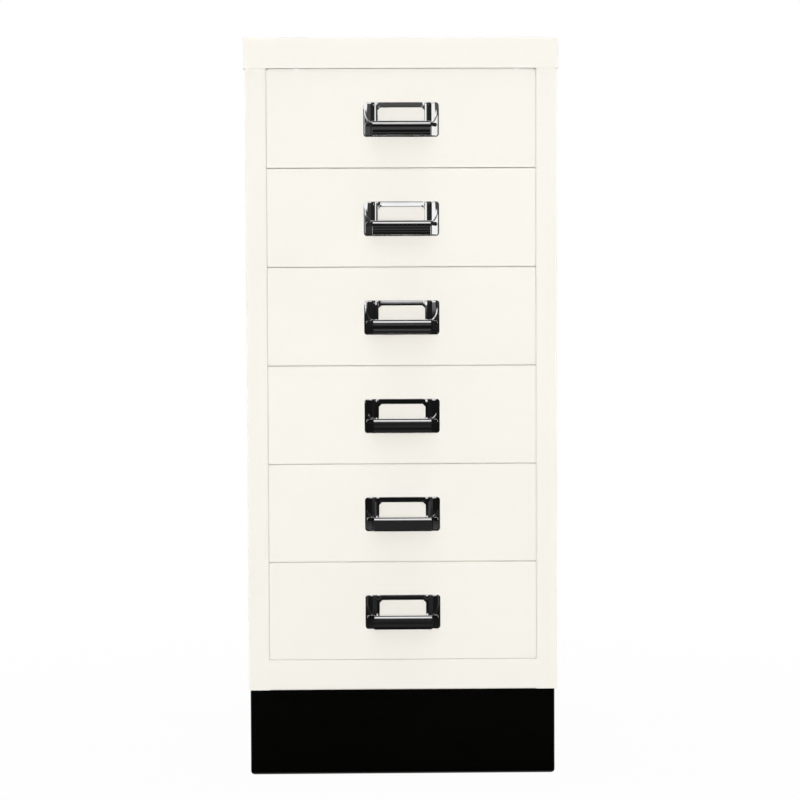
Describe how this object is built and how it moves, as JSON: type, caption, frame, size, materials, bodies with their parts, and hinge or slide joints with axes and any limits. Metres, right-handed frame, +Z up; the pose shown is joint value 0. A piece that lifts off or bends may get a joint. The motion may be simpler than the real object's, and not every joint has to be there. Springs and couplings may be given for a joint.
{
  "type": "multi-drawer cabinet",
  "caption": "Tall narrow sheet steel cabinet with equal sliding drawers, chromed label-window pulls, a folded cap and a dark set-back plinth.",
  "frame": {"origin": "on the floor, at the middle of the whole object's outline seen from above, pulls included", "axes": "+Z up, -Y out of the front, +X to the right seen from the front"},
  "size_m": [0.283, 0.3958, 0.67],
  "materials": {
    "ivory_paint": "satin powder coat with a very fine texture",
    "black_paint": "satin black powder coat",
    "chrome": "bright chrome plate",
    "zinc_steel": "bright zinc plate",
    "white_nylon": "matte"
  },
  "bodies": {
    "cabinet": {"back_panel": "ivory_paint", "base_plate": "ivory_paint", "bottom_rail": "ivory_paint", "left_rear_post": "ivory_paint", "left_side": "ivory_paint", "plinth_back": "black_paint", "plinth_bolts": "zinc_steel", "plinth_brackets": "black_paint", "plinth_front": "black_paint", "plinth_left": "black_paint", "plinth_right": "black_paint", "right_rear_post": "ivory_paint", "right_side": "ivory_paint", "runner_left_1": "ivory_paint", "runner_left_2": "ivory_paint", "runner_left_3": "ivory_paint", "runner_left_4": "ivory_paint", "runner_left_5": "ivory_paint", "runner_left_6": "ivory_paint", "runner_pads": "white_nylon", "runner_right_1": "ivory_paint", "runner_right_2": "ivory_paint", "runner_right_3": "ivory_paint", "runner_right_4": "ivory_paint", "runner_right_5": "ivory_paint", "runner_right_6": "ivory_paint", "top_cap": "ivory_paint", "top_pads": "white_nylon", "top_rail": "ivory_paint"},
    "drawer_1": {"drawer_1_front": "ivory_paint", "drawer_1_front_ends": "ivory_paint", "drawer_1_glides": "white_nylon", "drawer_1_handle": "chrome", "drawer_1_rivets": "zinc_steel", "drawer_1_tray": "ivory_paint"},
    "drawer_2": {"drawer_2_front": "ivory_paint", "drawer_2_front_ends": "ivory_paint", "drawer_2_glides": "white_nylon", "drawer_2_handle": "chrome", "drawer_2_rivets": "zinc_steel", "drawer_2_tray": "ivory_paint"},
    "drawer_3": {"drawer_3_front": "ivory_paint", "drawer_3_front_ends": "ivory_paint", "drawer_3_glides": "white_nylon", "drawer_3_handle": "chrome", "drawer_3_rivets": "zinc_steel", "drawer_3_tray": "ivory_paint"},
    "drawer_4": {"drawer_4_front": "ivory_paint", "drawer_4_front_ends": "ivory_paint", "drawer_4_glides": "white_nylon", "drawer_4_handle": "chrome", "drawer_4_rivets": "zinc_steel", "drawer_4_tray": "ivory_paint"},
    "drawer_5": {"drawer_5_front": "ivory_paint", "drawer_5_front_ends": "ivory_paint", "drawer_5_glides": "white_nylon", "drawer_5_handle": "chrome", "drawer_5_rivets": "zinc_steel", "drawer_5_tray": "ivory_paint"},
    "drawer_6": {"drawer_6_front": "ivory_paint", "drawer_6_front_ends": "ivory_paint", "drawer_6_glides": "white_nylon", "drawer_6_handle": "chrome", "drawer_6_rivets": "zinc_steel", "drawer_6_tray": "ivory_paint"}
  },
  "joints": [
    {"name": "drawer_1_slide", "type": "slide", "parent": "cabinet", "child": "drawer_1", "axis": [0, -1, 0], "range_m": [0, 0.284]},
    {"name": "drawer_2_slide", "type": "slide", "parent": "cabinet", "child": "drawer_2", "axis": [0, -1, 0], "range_m": [0, 0.284]},
    {"name": "drawer_3_slide", "type": "slide", "parent": "cabinet", "child": "drawer_3", "axis": [0, -1, 0], "range_m": [0, 0.284]},
    {"name": "drawer_4_slide", "type": "slide", "parent": "cabinet", "child": "drawer_4", "axis": [0, -1, 0], "range_m": [0, 0.284]},
    {"name": "drawer_5_slide", "type": "slide", "parent": "cabinet", "child": "drawer_5", "axis": [0, -1, 0], "range_m": [0, 0.284]},
    {"name": "drawer_6_slide", "type": "slide", "parent": "cabinet", "child": "drawer_6", "axis": [0, -1, 0], "range_m": [0, 0.284]}
  ]
}
